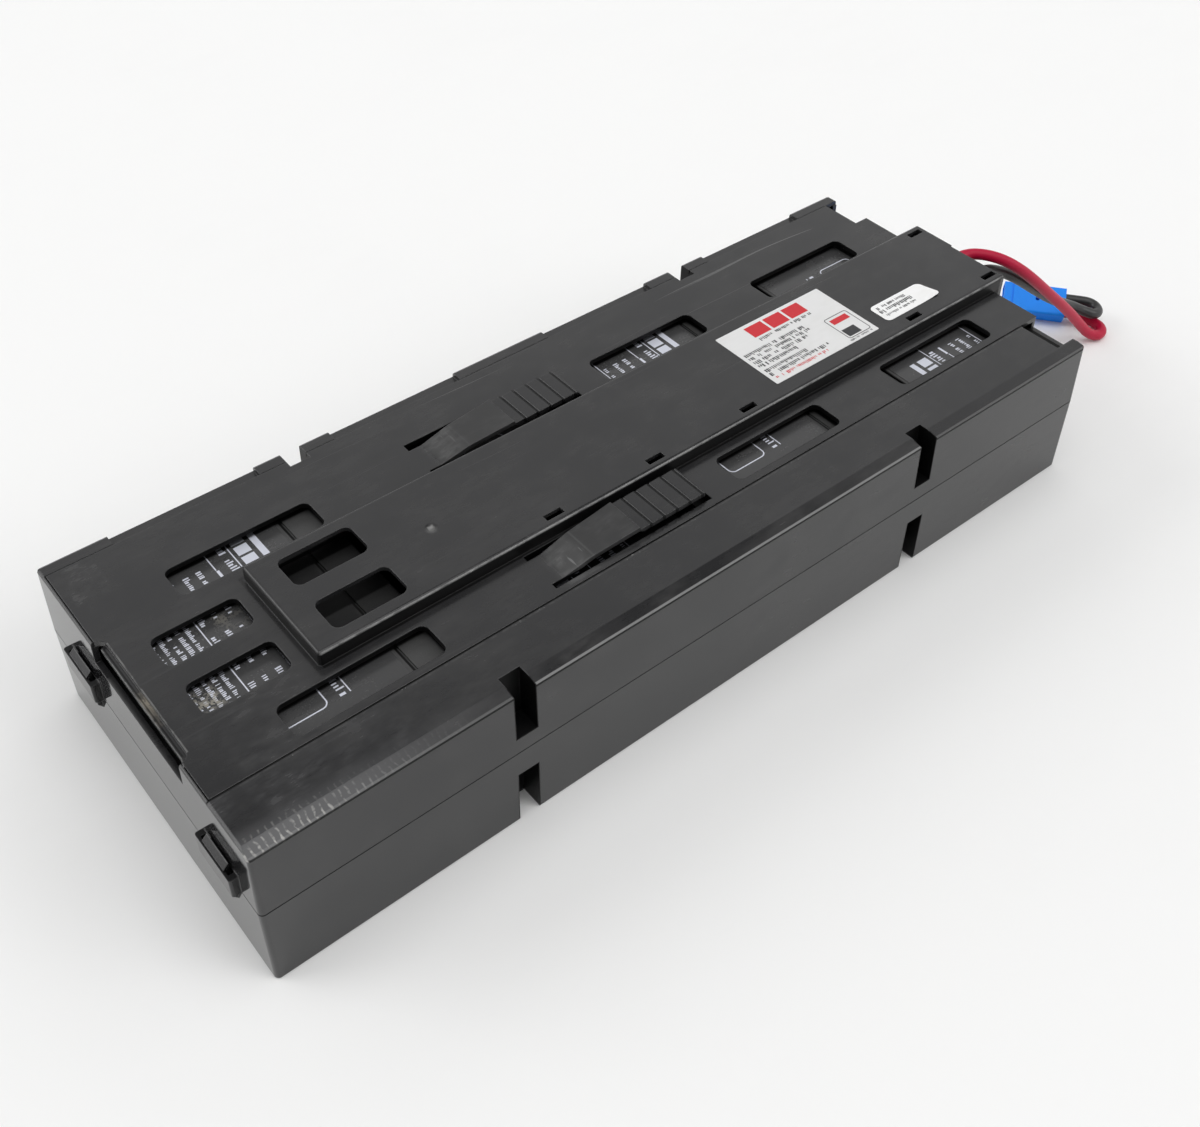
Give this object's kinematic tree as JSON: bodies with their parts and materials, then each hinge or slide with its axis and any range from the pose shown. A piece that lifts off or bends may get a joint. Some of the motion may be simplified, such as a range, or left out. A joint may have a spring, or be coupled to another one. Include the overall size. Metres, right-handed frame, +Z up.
{
  "type": "ups battery cartridge",
  "caption": "Flat black battery cartridge for a rack power supply: sealed batteries in a snapped two-part tray with a windowed cover, wiring channel and a lead with a plug.",
  "frame": {"origin": "under the middle of the box of the cartridge without its free leads and plug, on the floor", "axes": "+X along the cartridge from the grip end to the lead end, +Z up through the cover, +Y across to the side with the tabbed lip"},
  "size_m": [0.5521, 0.165, 0.0802],
  "materials": {
    "case_plastic": "moulded black plastic, satin",
    "battery_plastic": "fine-textured black plastic",
    "label_film": "black printed film",
    "white_label": "white paper label",
    "tinned_metal": "tin plated",
    "red_insulation": "soft cable insulation",
    "black_insulation": "soft cable insulation",
    "connector_blue": "moulded blue plastic",
    "foam": "closed-cell foam"
  },
  "bodies": {
    "root": {"lower_tray": "case_plastic", "upper_tray": "case_plastic", "top_cover": "case_plastic", "battery_case_1": "battery_plastic", "battery_lid_1": "battery_plastic", "battery_label_1": "label_film", "battery_case_2": "battery_plastic", "battery_lid_2": "battery_plastic", "battery_label_2": "label_film", "battery_case_3": "battery_plastic", "battery_lid_3": "battery_plastic", "battery_label_3": "label_film", "battery_case_4": "battery_plastic", "battery_lid_4": "battery_plastic", "battery_label_4": "label_film", "battery_terminals": "tinned_metal", "spade_receptacles": "tinned_metal", "red_lead_inner": "red_insulation", "black_lead_inner": "black_insulation", "front_jumper": "black_insulation", "middle_jumper": "black_insulation", "rear_jumper": "black_insulation", "red_lead": "red_insulation", "black_lead": "black_insulation", "front_pad": "foam", "centre_pad": "foam", "connector_housing": "connector_blue", "red_contact": "tinned_metal", "black_contact": "tinned_metal", "large_label": "white_label", "small_label": "white_label"}
  },
  "joints": []
}
